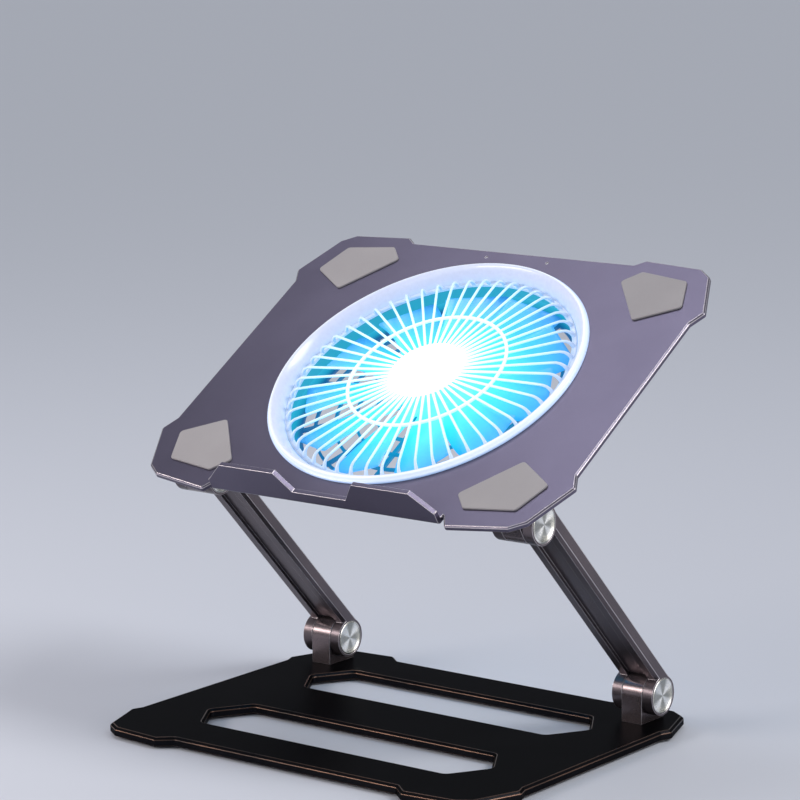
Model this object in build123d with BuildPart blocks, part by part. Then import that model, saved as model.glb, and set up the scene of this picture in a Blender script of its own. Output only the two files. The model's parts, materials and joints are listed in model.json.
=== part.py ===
from build123d import *
import math
import os

os.makedirs("parts", exist_ok=True)

# ---- driving dimensions, millimetres and degrees ----
FOOT_H = 1.5            # rubber feet under the base plate
BASE_T = 5.0            # base plate thickness
PIVOT_UP = 15.1         # base hinge axis above the base plate
PIVOT_Y = 72.05         # base hinge axis behind the middle of the stand
PIVOT_BACK = 80.2       # base hinge axis behind the middle of the base plate
HINGE_X = 108.9         # middle of each hinge from the centre line
HINGE_R = 11.2          # round hinge ends
KNUCKLE_W = 13.0        # middle lug of each hinge
WASHER_T = 0.35         # friction washer between lug and fork
FORK_W = 26.3           # whole width of an arm
ARM_L = 162.57          # hinge axis to hinge axis
ARM_RISE = 45.72        # lean of the arms above level, tipped to the front
PLATE_TILT = 31.5       # slope of the top plate, back edge up
PLATE_T = 3.0           # top plate thickness
AXIS_V = -83.8          # top hinge axis along the plate, from its middle
AXIS_N = -17.9          # top hinge axis below the plate's upper face
FAN_R = 88.5            # round opening in the top plate
SHROUD_N = -20.0        # lowest level of the fan housing, below the plate's face

BASE_Y = PIVOT_Y - PIVOT_BACK
PIVOT_Z = FOOT_H + BASE_T + PIVOT_UP
rise = math.radians(ARM_RISE)
tilt = math.radians(PLATE_TILT)
TOP_Y = PIVOT_Y - ARM_L * math.cos(rise)
TOP_Z = PIVOT_Z + ARM_L * math.sin(rise)
PLATE_Y = TOP_Y - AXIS_V * math.cos(tilt) + AXIS_N * math.sin(tilt)
PLATE_Z = TOP_Z - AXIS_V * math.sin(tilt) - AXIS_N * math.cos(tilt)

# Working planes: the base plate's underside, the top plate's upper face, and a slice across the
# arms at the base hinge, whose own Y points to the back of the arm.
BASE = Plane(origin=(0, BASE_Y, FOOT_H))
PLATE = Plane(
    origin=(0, PLATE_Y, PLATE_Z),
    x_dir=(1, 0, 0),
    z_dir=(0, -math.sin(tilt), math.cos(tilt)),
)
ARM_SLICE = Plane(
    origin=(0, PIVOT_Y, PIVOT_Z),
    x_dir=(1, 0, 0),
    z_dir=(0, -math.cos(rise), math.sin(rise)),
)
PLATE_AXIS = Axis(PLATE.origin, PLATE.z_dir)
SIDES = (("left", -1), ("right", 1))
BASE_AXIS = (PIVOT_Y, PIVOT_Z)
TOP_AXIS = (TOP_Y, TOP_Z)


def around(front_corner, back_corner):
    """Outline from the right-hand tab corners, mirrored to the left."""
    right = front_corner + list(reversed(back_corner))
    return right + [(-x, y) for x, y in reversed(right)]


# ---- base plate: black anodised sheet with corner tabs and two long hexagonal slots ----
BASE_TAB = [(75.5, 100.2), (84.0, 107.4), (115.0, 104.5), (124.0, 98.5), (134.0, 70.5), (131.6, 64.0)]
SLOT_Y = 45.5
SLOT_HALF = 22.0
SLOT_FLAT = 83.0
SLOT_TIP = 96.5
SLOT_CORNER_R = 4.0
TAB_CORNER_R = 2.0
BEVEL = 1.5
LONG_EDGE = 100.0
BLOCK_SCREW_DY = 6.0
SCREW_R = 1.7
SCREW_HEAD_R = 3.4
SCREW_TAPER = 45

slot_points = [
    (-SLOT_TIP, 0), (-SLOT_FLAT, -SLOT_HALF), (SLOT_FLAT, -SLOT_HALF),
    (SLOT_TIP, 0), (SLOT_FLAT, SLOT_HALF), (-SLOT_FLAT, SLOT_HALF),
]
block_screw_spots = [
    (side * HINGE_X, PIVOT_Y - BASE_Y + dy)
    for _, side in SIDES for dy in (-BLOCK_SCREW_DY, BLOCK_SCREW_DY)
]

with BuildPart() as base_plate:
    with BuildSketch(BASE):
        with BuildLine():
            Polyline(*around([(x, -y) for x, y in BASE_TAB], BASE_TAB), close=True)
        make_face()
    extrude(amount=BASE_T)
    fillet(base_plate.edges().filter_by(Axis.Z), radius=TAB_CORNER_R)
    for place in (-SLOT_Y, SLOT_Y):
        with BuildSketch(BASE) as slot:
            with Locations((0, place)):
                Polygon(*slot_points, align=None)
            fillet(slot.vertices(), radius=SLOT_CORNER_R)
        extrude(amount=BASE_T, mode=Mode.SUBTRACT)
    upper = base_plate.faces().sort_by(Axis.Z)[-1]
    rims = [edge for wire in upper.inner_wires() for edge in wire.edges()]
    straights = [edge for edge in upper.outer_wire().edges() if edge.length > LONG_EDGE]
    chamfer(rims + straights, length=BEVEL)
    with BuildSketch(BASE):
        with Locations(*block_screw_spots):
            Circle(SCREW_R)
    extrude(amount=BASE_T, mode=Mode.SUBTRACT)
    with BuildSketch(BASE):
        with Locations(*block_screw_spots):
            Circle(SCREW_HEAD_R)
    extrude(amount=SCREW_HEAD_R - SCREW_R, taper=SCREW_TAPER, mode=Mode.SUBTRACT)
base_plate.part.label = "base_plate"
export_step(base_plate.part, "parts/base_plate.step")

# ---- four rubber feet stuck under the tabs ----
FOOT_R = 5.5
FOOT_SPOT = (118.0, 93.0)
FOOT_EDGE_R = 0.5

with BuildPart() as base_feet:
    with BuildSketch(Plane(origin=(0, BASE_Y, 0))):
        with GridLocations(2 * FOOT_SPOT[0], 2 * FOOT_SPOT[1], 2, 2):
            Circle(FOOT_R)
    extrude(amount=FOOT_H)
    fillet(base_feet.edges().group_by(Axis.Z)[0], radius=FOOT_EDGE_R)
base_feet.part.label = "base_feet"
export_step(base_feet.part, "parts/base_feet.step")

# ---- countersunk screws that hold the base hinge lugs from below ----
BASE_SCREW_L = 12.0

with BuildPart() as base_block_screws:
    with BuildSketch(BASE):
        with Locations(*block_screw_spots):
            Circle(SCREW_R)
    extrude(amount=BASE_SCREW_L)
    with BuildSketch(BASE):
        with Locations(*block_screw_spots):
            Circle(SCREW_HEAD_R)
    extrude(amount=SCREW_HEAD_R - SCREW_R, taper=SCREW_TAPER)
base_block_screws.part.label = "base_block_screws"
export_step(base_block_screws.part, "parts/base_block_screws.step")

# ---- hinge lugs, pins and forked arms, one set on each side ----
PIN_R = 3.0
BORE_GAP = 0.05
PIN_END_GAP = 0.3
PIN_CHAMFER = 0.4
CAP_R = 9.9
CAP_T = 1.2
TOP_PIN_L = FORK_W - 2 * CAP_T
BASE_PIN_L = TOP_PIN_L - 2 * PIN_END_GAP
ARM_BACK = HINGE_R
ARM_FRONT = 3.0
FRONT_CHAMFER = 1.8
BACK_CHAMFER = 0.7
CHANNEL_DEPTH = 2.0
FORK_GAP = 1.4
LUG_SLOT_W = KNUCKLE_W + 2 * WASHER_T
FLANGE_W = 14.0
FLANGE_T = 3.0
TOP_SCREW_R = 1.5
TOP_SCREW_DV = 6.5
TOP_SCREW_IN = 10.9
TOP_SCREW_X = HINGE_X - KNUCKLE_W / 2 - TOP_SCREW_IN

for name, side in SIDES:
    middle = side * HINGE_X
    with BuildPart() as base_block:
        with BuildSketch(Plane.YZ.offset(middle - KNUCKLE_W / 2)):
            with Locations(BASE_AXIS):
                Circle(HINGE_R)
            with Locations((PIVOT_Y, PIVOT_Z - PIVOT_UP / 2)):
                Rectangle(2 * HINGE_R, PIVOT_UP)
            with Locations(BASE_AXIS):
                Circle(PIN_R, mode=Mode.SUBTRACT)
        extrude(amount=KNUCKLE_W)
        with BuildSketch(BASE.offset(BASE_T)):
            with Locations(*block_screw_spots):
                Circle(SCREW_R)
        extrude(amount=BASE_SCREW_L - BASE_T, mode=Mode.SUBTRACT)
    base_block.part.label = f"base_hinge_block_{name}"
    export_step(base_block.part, f"parts/base_hinge_block_{name}.step")

    with BuildPart() as top_block:
        with BuildSketch(Plane.YZ.offset(middle - KNUCKLE_W / 2)):
            with Locations(TOP_AXIS):
                Circle(HINGE_R)
        extrude(amount=KNUCKLE_W)
        with BuildSketch(PLATE.offset(AXIS_N)):
            with Locations((middle, AXIS_V)):
                Rectangle(KNUCKLE_W, 2 * HINGE_R)
        extrude(amount=-AXIS_N - PLATE_T)
        with BuildSketch(PLATE.offset(-PLATE_T - FLANGE_T)):
            with Locations((side * (HINGE_X - KNUCKLE_W / 2 - FLANGE_W / 2), AXIS_V)):
                Rectangle(FLANGE_W, 2 * HINGE_R)
            with Locations(
                (side * TOP_SCREW_X, AXIS_V - TOP_SCREW_DV),
                (side * TOP_SCREW_X, AXIS_V + TOP_SCREW_DV),
            ):
                Circle(TOP_SCREW_R, mode=Mode.SUBTRACT)
        extrude(amount=FLANGE_T)
        with BuildSketch(Plane.YZ.offset(middle - KNUCKLE_W / 2)):
            with Locations(TOP_AXIS):
                Circle(PIN_R + BORE_GAP)
        extrude(amount=KNUCKLE_W, mode=Mode.SUBTRACT)
    top_block.part.label = f"top_hinge_block_{name}"
    export_step(top_block.part, f"parts/top_hinge_block_{name}.step")

    for level, axis, length in (("base", BASE_AXIS, BASE_PIN_L), ("top", TOP_AXIS, TOP_PIN_L)):
        with BuildPart() as pin:
            with BuildSketch(Plane.YZ.offset(middle - length / 2)):
                with Locations(axis):
                    Circle(PIN_R)
            extrude(amount=length)
            chamfer(pin.edges(), length=PIN_CHAMFER)
        pin.part.label = f"{level}_hinge_pin_{name}"
        export_step(pin.part, f"parts/{level}_hinge_pin_{name}.step")

    with BuildPart() as arm:
        with BuildSketch(ARM_SLICE) as section:
            with Locations((middle, (ARM_BACK + ARM_FRONT) / 2)):
                Rectangle(FORK_W, ARM_BACK - ARM_FRONT)
            chamfer(section.vertices().group_by(Axis.Y)[0], length=FRONT_CHAMFER)
            chamfer(section.vertices().group_by(Axis.Y)[-1], length=BACK_CHAMFER)
            with Locations((middle, ARM_FRONT + CHANNEL_DEPTH / 2)):
                Rectangle(KNUCKLE_W, CHANNEL_DEPTH, mode=Mode.SUBTRACT)
        extrude(amount=ARM_L)
        with BuildSketch(Plane.YZ.offset(middle - FORK_W / 2)):
            with Locations(BASE_AXIS, TOP_AXIS):
                Circle(HINGE_R)
        extrude(amount=FORK_W)
        with BuildSketch(Plane.YZ.offset(middle - LUG_SLOT_W / 2)):
            with Locations(BASE_AXIS):
                Circle(HINGE_R + FORK_GAP)
        extrude(amount=LUG_SLOT_W, mode=Mode.SUBTRACT)
        with BuildSketch(ARM_SLICE.offset(ARM_L - HINGE_R - FORK_GAP)):
            with Locations((middle, 0)):
                Rectangle(LUG_SLOT_W, 4 * HINGE_R)
        extrude(amount=3 * HINGE_R, mode=Mode.SUBTRACT)
        with BuildSketch(Plane.YZ.offset(middle - FORK_W / 2)):
            with Locations(BASE_AXIS, TOP_AXIS):
                Circle(PIN_R + BORE_GAP)
        extrude(amount=FORK_W, mode=Mode.SUBTRACT)
        for axis, gap in ((BASE_AXIS, 0.0), (TOP_AXIS, BORE_GAP)):
            for face_x in (-FORK_W / 2, FORK_W / 2 - CAP_T - gap):
                with BuildSketch(Plane.YZ.offset(middle + face_x)):
                    with Locations(axis):
                        Circle(CAP_R + gap)
                extrude(amount=CAP_T + gap, mode=Mode.SUBTRACT)
    arm.part.label = f"arm_{name}"
    export_step(arm.part, f"parts/arm_{name}.step")

# ---- caps and friction washers: a cap on each face of each fork, a washer on each side of a lug ----
WASHER_R = 9.0

for level, axis in (("base", BASE_AXIS), ("top", TOP_AXIS)):
    with BuildPart() as hinge_caps:
        for _, side in SIDES:
            for face_x in (-FORK_W / 2, FORK_W / 2 - CAP_T):
                with BuildSketch(Plane.YZ.offset(side * HINGE_X + face_x)):
                    with Locations(axis):
                        Circle(CAP_R)
                extrude(amount=CAP_T)
    hinge_caps.part.label = f"{level}_hinge_caps"
    export_step(hinge_caps.part, f"parts/{level}_hinge_caps.step")

    with BuildPart() as washers:
        for _, side in SIDES:
            for face_x in (-LUG_SLOT_W / 2, KNUCKLE_W / 2):
                with BuildSketch(Plane.YZ.offset(side * HINGE_X + face_x)):
                    with Locations(axis):
                        Circle(WASHER_R)
                        Circle(PIN_R + BORE_GAP, mode=Mode.SUBTRACT)
                extrude(amount=WASHER_T)
    washers.part.label = f"{level}_friction_washers"
    export_step(washers.part, f"parts/{level}_friction_washers.step")

# ---- pan-head screws up through the top lugs' flanges into the plate ----
TOP_HEAD_R = 2.7
TOP_HEAD_T = 1.6
TOP_SCREW_BITE = 2.2
top_screw_spots = [
    (side * TOP_SCREW_X, AXIS_V + dv)
    for _, side in SIDES for dv in (-TOP_SCREW_DV, TOP_SCREW_DV)
]

with BuildPart() as top_block_screws:
    with BuildSketch(PLATE.offset(-PLATE_T - FLANGE_T - TOP_HEAD_T)):
        with Locations(*top_screw_spots):
            Circle(TOP_HEAD_R)
    extrude(amount=TOP_HEAD_T)
    with BuildSketch(PLATE.offset(-PLATE_T - FLANGE_T)):
        with Locations(*top_screw_spots):
            Circle(TOP_SCREW_R)
    extrude(amount=FLANGE_T + TOP_SCREW_BITE)
top_block_screws.part.label = "top_block_screws"
export_step(top_block_screws.part, "parts/top_block_screws.step")

# ---- top plate: purple-grey anodised sheet, its front edge bent up into a band and two lips ----
TAB_BACK = [(76.0, 105.0), (82.0, 109.5), (119.0, 107.0), (127.5, 101.0), (140.2, 71.6), (135.6, 62.0)]
TAB_FRONT = [(77.0, 105.0), (82.0, 112.5), (119.0, 107.0), (127.5, 101.0), (140.2, 71.6), (135.6, 62.0)]
BAND_V = -110.0
BAND_ROOT_V = -100.0
BAND_X = 76.5
BAND_H = 5.0
LIP_H = 17.0
LIP_OUTER = (76.0, 63.7)
LIP_INNER = (18.0, 26.5)
LIP_ROOT = 0.5
BEND_R = 2.5
EDGE_BEVEL = 0.8
BEVELLED_EDGE = 8.0
FAN_SCREWS = 6
FAN_SCREW_START = 30
FAN_SCREW_RING = 92.0
FAN_SCREW_R = 0.9
FAN_SCREW_HEAD_R = 1.4
FAN_SCREW_HEAD_T = 1.2
CASE_SCREW_SPOTS = [(-21.0, 99.0), (21.0, 99.0)]

with BuildPart() as top_plate:
    with BuildSketch(PLATE.offset(-PLATE_T)):
        with BuildLine():
            Polyline(*around([(x, -v) for x, v in TAB_FRONT], TAB_BACK), close=True)
        make_face()
    extrude(amount=PLATE_T)
    fillet(top_plate.edges().filter_by(PLATE_AXIS), radius=TAB_CORNER_R)
    rims = [edge for edge in top_plate.faces().sort_by(PLATE_AXIS)[-1].outer_wire().edges()
            if edge.length > BEVELLED_EDGE]
    chamfer(rims, length=EDGE_BEVEL)
    with BuildSketch(PLATE.offset(-PLATE_T)):
        with Locations((0, (BAND_V + BAND_ROOT_V) / 2)):
            Rectangle(2 * BAND_X, BAND_ROOT_V - BAND_V)
    extrude(amount=PLATE_T)
    with BuildSketch(PLATE.offset(-PLATE_T)):
        with Locations((0, BAND_V + PLATE_T / 2)):
            Rectangle(2 * BAND_X, PLATE_T)
    extrude(amount=PLATE_T + BAND_H)
    with BuildSketch(Plane(PLATE.from_local_coords(Vector(0, BAND_V, 0)), x_dir=(1, 0, 0), z_dir=PLATE.y_dir)):
        for side in (-1, 1):
            Polygon(
                (side * LIP_OUTER[0], LIP_ROOT - BAND_H), (side * LIP_OUTER[0], -BAND_H),
                (side * LIP_OUTER[1], -LIP_H), (side * LIP_INNER[1], -LIP_H),
                (side * LIP_INNER[0], -BAND_H), (side * LIP_INNER[0], LIP_ROOT - BAND_H),
                align=None,
            )
    extrude(amount=PLATE_T)
    bend = top_plate.edges().filter_by(Axis.X).sort_by(Axis.Z)
    fillet([edge for edge in bend if edge.length > LONG_EDGE][:1], radius=BEND_R)
    with BuildSketch(PLATE.offset(-PLATE_T)):
        with Locations(*top_screw_spots):
            Circle(TOP_SCREW_R)
    extrude(amount=TOP_SCREW_BITE, mode=Mode.SUBTRACT)
    with BuildSketch(PLATE.offset(-PLATE_T)):
        Circle(FAN_R)
        with PolarLocations(FAN_SCREW_RING, FAN_SCREWS, start_angle=FAN_SCREW_START):
            Circle(FAN_SCREW_R)
        with Locations(*CASE_SCREW_SPOTS):
            Circle(FAN_SCREW_R)
    extrude(amount=PLATE_T, mode=Mode.SUBTRACT)
top_plate.part.label = "top_plate"
export_step(top_plate.part, "parts/top_plate.step")

# ---- four grey silicone pads, five-sided, one in each corner ----
PAD_POINTS = [(85.8, 98.6), (76.6, 88.9), (101.1, 58.7), (124.95, 73.2), (116.8, 94.4)]
PAD_T = 1.2
PAD_CORNER_R = 2.5
PAD_EDGE_R = 0.5

for row, way in (("front", -1), ("back", 1)):
    for name, side in SIDES:
        with BuildPart() as pad:
            with BuildSketch(PLATE) as outline:
                Polygon(*[(side * x, way * v) for x, v in PAD_POINTS], align=None)
                fillet(outline.vertices(), radius=PAD_CORNER_R)
            extrude(amount=PAD_T)
            fillet(pad.faces().sort_by(PLATE_AXIS)[-1].edges(), radius=PAD_EDGE_R)
        pad.part.label = f"pad_{row}_{name}"
        export_step(pad.part, f"parts/pad_{row}_{name}.step")

# ---- fan collar: milky ring that drops through the plate, with a raised rim and a sloping wall ----
THROAT_R = 84.6
COLLAR_LOW = -6.0
COLLAR_BITE = 0.9
WALL_GAP = 0.3
COLLAR_PROFILE = [
    (93.1, 0), (93.1, 1.2), (91.6, 1.4), (91.6, 3.0), (90.8, 3.6), (89.4, 3.2),
    (THROAT_R, -4.2), (THROAT_R, COLLAR_LOW), (86.6, COLLAR_LOW),
    (FAN_R - WALL_GAP, -PLATE_T), (FAN_R - WALL_GAP, 0),
]
FAN_SECTION = Plane(origin=PLATE.origin, x_dir=(1, 0, 0), z_dir=-PLATE.y_dir)

with BuildPart() as fan_collar:
    with BuildSketch(FAN_SECTION):
        Polygon(*COLLAR_PROFILE, align=None)
    revolve(axis=PLATE_AXIS)
    with BuildSketch(PLATE):
        with PolarLocations(FAN_SCREW_RING, FAN_SCREWS, start_angle=FAN_SCREW_START):
            Circle(FAN_SCREW_R)
    extrude(amount=COLLAR_BITE, mode=Mode.SUBTRACT)
fan_collar.part.label = "fan_collar"
export_step(fan_collar.part, "parts/fan_collar.step")

# ---- fan grille: moulded cage of thin spokes whose outer ends bend down to a seat ring ----
SPOKES = 52
SPOKE_W = 1.5
SPOKE_T = 1.6
HUB_R = 21.5
SPOKE_IN = 20.0
SPOKE_OUT = 77.5
SPOKE_FOOT_W = 2.6
SPOKE_FOOT_PROFILE = [
    (76.4, 0), (76.4, 1.6), (79.4, 1.1), (83.2, -2.4), (83.2, -5.2), (81.6, -5.2), (81.2, -2.2), (78.2, 0),
]
SEAT_RING_IN = 81.4
SEAT_RING_H = 1.6
RING_R = 46.0
RING_W = 1.8

with BuildPart() as fan_grille:
    with BuildSketch(PLATE):
        Circle(RING_R + RING_W / 2)
        Circle(RING_R - RING_W / 2, mode=Mode.SUBTRACT)
        Circle(HUB_R)
    extrude(amount=SPOKE_T)
    with BuildSketch(PLATE):
        with PolarLocations((SPOKE_IN + SPOKE_OUT) / 2, SPOKES):
            Rectangle(SPOKE_OUT - SPOKE_IN, SPOKE_W)
    extrude(amount=SPOKE_T)
    with BuildSketch(PLATE.offset(COLLAR_LOW)):
        Circle(THROAT_R)
        Circle(SEAT_RING_IN, mode=Mode.SUBTRACT)
    extrude(amount=SEAT_RING_H)
    with BuildSketch(FAN_SECTION.offset(-SPOKE_FOOT_W / 2)) as foot:
        Polygon(*SPOKE_FOOT_PROFILE, align=None)
    spoke_foot = extrude(foot.sketch, amount=SPOKE_FOOT_W, mode=Mode.PRIVATE)
    add([spoke_foot.rotate(PLATE_AXIS, 360 * i / SPOKES) for i in range(SPOKES)])
fan_grille.part.label = "fan_grille"
export_step(fan_grille.part, "parts/fan_grille.step")

# ---- glowing hub cap: a low milky dome on the middle of the grille ----
HUB_CAP_H = 2.0
HUB_CAP_EDGE_R = 1.4

with BuildPart() as hub_cap:
    with BuildSketch(PLATE.offset(SPOKE_T)):
        Circle(HUB_R)
    extrude(amount=HUB_CAP_H)
    fillet(hub_cap.faces().sort_by(PLATE_AXIS)[-1].edges(), radius=HUB_CAP_EDGE_R)
hub_cap.part.label = "hub_cap"
export_step(hub_cap.part, "parts/hub_cap.step")

# ---- ring of lights under the collar: a flat board and its light-emitting diodes ----
LED_COUNT = 24
LED_R = 86.4
LED_SIZE = 2.4
LED_T = 0.8
LED_BOARD_T = 1.2
LED_BOARD_IN = 84.6

with BuildPart() as led_ring_board:
    with BuildSketch(PLATE.offset(COLLAR_LOW - LED_T - LED_BOARD_T)):
        Circle(FAN_R - WALL_GAP)
        Circle(LED_BOARD_IN, mode=Mode.SUBTRACT)
    extrude(amount=LED_BOARD_T)
led_ring_board.part.label = "led_ring_board"
export_step(led_ring_board.part, "parts/led_ring_board.step")

with BuildPart() as leds:
    with BuildSketch(PLATE.offset(COLLAR_LOW - LED_T)):
        with PolarLocations(LED_R, LED_COUNT):
            Rectangle(LED_SIZE, LED_SIZE)
    extrude(amount=LED_T)
leds.part.label = "leds"
export_step(leds.part, "parts/leds.step")

# ---- fan housing: deep black ring under the plate, with a flange, a lip at the bottom and a sill ----
SHROUD_WALL = 2.0
SHROUD_R = FAN_R + SHROUD_WALL
HOUSING_FLANGE_R = 94.5
HOUSING_FLANGE_T = 2.0
SHROUD_FLOOR = 1.6
REAR_OPEN_R = 82.0

with BuildPart() as fan_housing:
    with BuildSketch(PLATE.offset(SHROUD_N)):
        Circle(SHROUD_R)
    extrude(amount=-SHROUD_N - PLATE_T)
    with BuildSketch(PLATE.offset(-PLATE_T)):
        Circle(HOUSING_FLANGE_R)
        with PolarLocations(FAN_SCREW_RING, FAN_SCREWS, start_angle=FAN_SCREW_START):
            Circle(FAN_SCREW_R, mode=Mode.SUBTRACT)
    extrude(amount=-HOUSING_FLANGE_T)
    with BuildSketch(PLATE.offset(SHROUD_N + SHROUD_FLOOR)):
        Circle(FAN_R)
    extrude(amount=-SHROUD_N, mode=Mode.SUBTRACT)
    with BuildSketch(PLATE.offset(SHROUD_N)):
        Circle(REAR_OPEN_R)
    extrude(amount=SHROUD_FLOOR, mode=Mode.SUBTRACT)
fan_housing.part.label = "fan_housing"
export_step(fan_housing.part, "parts/fan_housing.step")

# ---- rear guard: rings and arms across the back opening, and the plate that carries the motor ----
MOTOR_SEAT_R = 22.0
GUARD_ARMS = 12
GUARD_ARM_W = 2.4
GUARD_RIM_W = 2.5
GUARD_T = 1.6
GUARD_RINGS = (36.0, 48.0, 60.0, 72.0)
GUARD_RING_W = 1.6

with BuildPart() as rear_guard:
    with BuildSketch(PLATE.offset(SHROUD_N)):
        Circle(REAR_OPEN_R)
        Circle(REAR_OPEN_R - GUARD_RIM_W, mode=Mode.SUBTRACT)
        for radius in GUARD_RINGS:
            with BuildSketch(mode=Mode.PRIVATE) as ring:
                Circle(radius + GUARD_RING_W / 2)
                Circle(radius - GUARD_RING_W / 2, mode=Mode.SUBTRACT)
            add(ring.sketch)
        Circle(MOTOR_SEAT_R)
        with PolarLocations((MOTOR_SEAT_R + REAR_OPEN_R) / 2, GUARD_ARMS):
            Rectangle(REAR_OPEN_R - MOTOR_SEAT_R + GUARD_ARM_W, GUARD_ARM_W)
        Circle(REAR_OPEN_R, mode=Mode.INTERSECT)
    extrude(amount=GUARD_T)
rear_guard.part.label = "rear_guard"
export_step(rear_guard.part, "parts/rear_guard.step")

# ---- motor: board, stator, windings, bearing and shaft on the guard's middle plate ----
MOTOR_N = SHROUD_N + GUARD_T
BOARD_R = 17.0
BOARD_T = 1.0
STATOR_N = MOTOR_N + BOARD_T + 1.0
STATOR_CORE_R = 7.0
STATOR_H = 6.0
TEETH = 8
TOOTH_MID_R = 9.0
TOOTH_L = 6.0
TOOTH_W = 2.0
TOOTH_TIP_R = 11.8
TOOTH_TIP_W = 6.4
COIL_L = 3.0
COIL_W = 4.4
COIL_OVER = 0.6
BEARING_R = 4.0
BEARING_H = 8.5
SHAFT_R = 1.5
SHAFT_LOW = MOTOR_N + 0.6
SHAFT_TOP = -3.6

with BuildPart() as motor_board:
    with BuildSketch(PLATE.offset(MOTOR_N)):
        Circle(BOARD_R)
        Circle(BEARING_R, mode=Mode.SUBTRACT)
    extrude(amount=BOARD_T)
motor_board.part.label = "motor_board"
export_step(motor_board.part, "parts/motor_board.step")

with BuildPart() as motor_stator:
    with BuildSketch(PLATE.offset(STATOR_N)):
        Circle(STATOR_CORE_R)
        with PolarLocations(TOOTH_MID_R, TEETH):
            Rectangle(TOOTH_L, TOOTH_W)
        with PolarLocations(TOOTH_TIP_R, TEETH):
            Rectangle(TOOTH_W, TOOTH_TIP_W)
        Circle(BEARING_R, mode=Mode.SUBTRACT)
    extrude(amount=STATOR_H)
motor_stator.part.label = "motor_stator"
export_step(motor_stator.part, "parts/motor_stator.step")

with BuildPart() as motor_windings:
    with BuildSketch(PLATE.offset(STATOR_N - COIL_OVER)):
        with PolarLocations(TOOTH_MID_R, TEETH):
            Rectangle(COIL_L, COIL_W)
    extrude(amount=STATOR_H + 2 * COIL_OVER)
    with BuildSketch(PLATE.offset(STATOR_N)):
        with PolarLocations(TOOTH_MID_R, TEETH):
            Rectangle(TOOTH_L, TOOTH_W)
    extrude(amount=STATOR_H, mode=Mode.SUBTRACT)
motor_windings.part.label = "motor_windings"
export_step(motor_windings.part, "parts/motor_windings.step")

with BuildPart() as motor_bearing:
    with BuildSketch(PLATE.offset(MOTOR_N)):
        Circle(BEARING_R)
        Circle(SHAFT_R + BORE_GAP, mode=Mode.SUBTRACT)
    extrude(amount=BEARING_H)
motor_bearing.part.label = "motor_bearing"
export_step(motor_bearing.part, "parts/motor_bearing.step")

with BuildPart() as motor_shaft:
    with BuildSketch(PLATE.offset(SHAFT_LOW)):
        Circle(SHAFT_R)
    extrude(amount=SHAFT_TOP - SHAFT_LOW)
motor_shaft.part.label = "motor_shaft"
export_step(motor_shaft.part, "parts/motor_shaft.step")

# ---- rotor: cup with swept blades, and the magnet ring inside the cup ----
BLADES = 11
BLADE_LEAD = [(18.7, 7.0), (45.0, 13.5), (75.0, 13.0)]
BLADE_TRAIL = [(77.0, -12.0), (45.0, -8.0), (18.7, -7.0)]
BLADE_PITCH = 28.0
BLADE_T = 1.4
BLADE_N = -10.5
CUP_R = 19.5
CUP_WALL = 1.5
CUP_LOW = MOTOR_N + BOARD_T + 0.8
CUP_TOP = -4.6
MAGNET_T = 2.6
MAGNET_UP = 0.4

pitch = math.radians(BLADE_PITCH)

with BuildPart() as fan_rotor:
    with BuildSketch(PLATE.offset(CUP_LOW)):
        Circle(CUP_R)
    extrude(amount=CUP_TOP - CUP_LOW)
    with BuildSketch(PLATE.offset(CUP_LOW)):
        Circle(CUP_R - CUP_WALL)
    extrude(amount=CUP_TOP - CUP_LOW - CUP_WALL, mode=Mode.SUBTRACT)
    with BuildSketch(PLATE.offset(CUP_TOP - CUP_WALL)):
        Circle(SHAFT_R)
    extrude(amount=CUP_WALL, mode=Mode.SUBTRACT)
    for i in range(BLADES):
        turn = math.radians(360 * i / BLADES)
        outward = PLATE.x_dir * math.cos(turn) + PLATE.y_dir * math.sin(turn)
        across = PLATE.y_dir * math.cos(turn) - PLATE.x_dir * math.sin(turn)
        blade_face = Plane(
            PLATE.from_local_coords(Vector(0, 0, BLADE_N)),
            x_dir=outward,
            z_dir=PLATE.z_dir * math.cos(pitch) - across * math.sin(pitch),
        )
        with BuildSketch(blade_face.offset(-BLADE_T / 2)):
            with BuildLine():
                lead = Spline(*BLADE_LEAD)
                trail = Spline(*BLADE_TRAIL)
                Line(lead @ 1, trail @ 0)
                Line(trail @ 1, lead @ 0)
            make_face()
        extrude(amount=BLADE_T)
    with BuildSketch(PLATE.offset(SHROUD_N)):
        Circle(CUP_R - CUP_WALL)
    extrude(amount=CUP_TOP - CUP_WALL - SHROUD_N, mode=Mode.SUBTRACT)
fan_rotor.part.label = "fan_rotor"
export_step(fan_rotor.part, "parts/fan_rotor.step")

with BuildPart() as magnet_ring:
    with BuildSketch(PLATE.offset(CUP_LOW + MAGNET_UP)):
        Circle(CUP_R - CUP_WALL)
        Circle(CUP_R - CUP_WALL - MAGNET_T, mode=Mode.SUBTRACT)
    extrude(amount=STATOR_H)
magnet_ring.part.label = "magnet_ring"
export_step(magnet_ring.part, "parts/magnet_ring.step")

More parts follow.
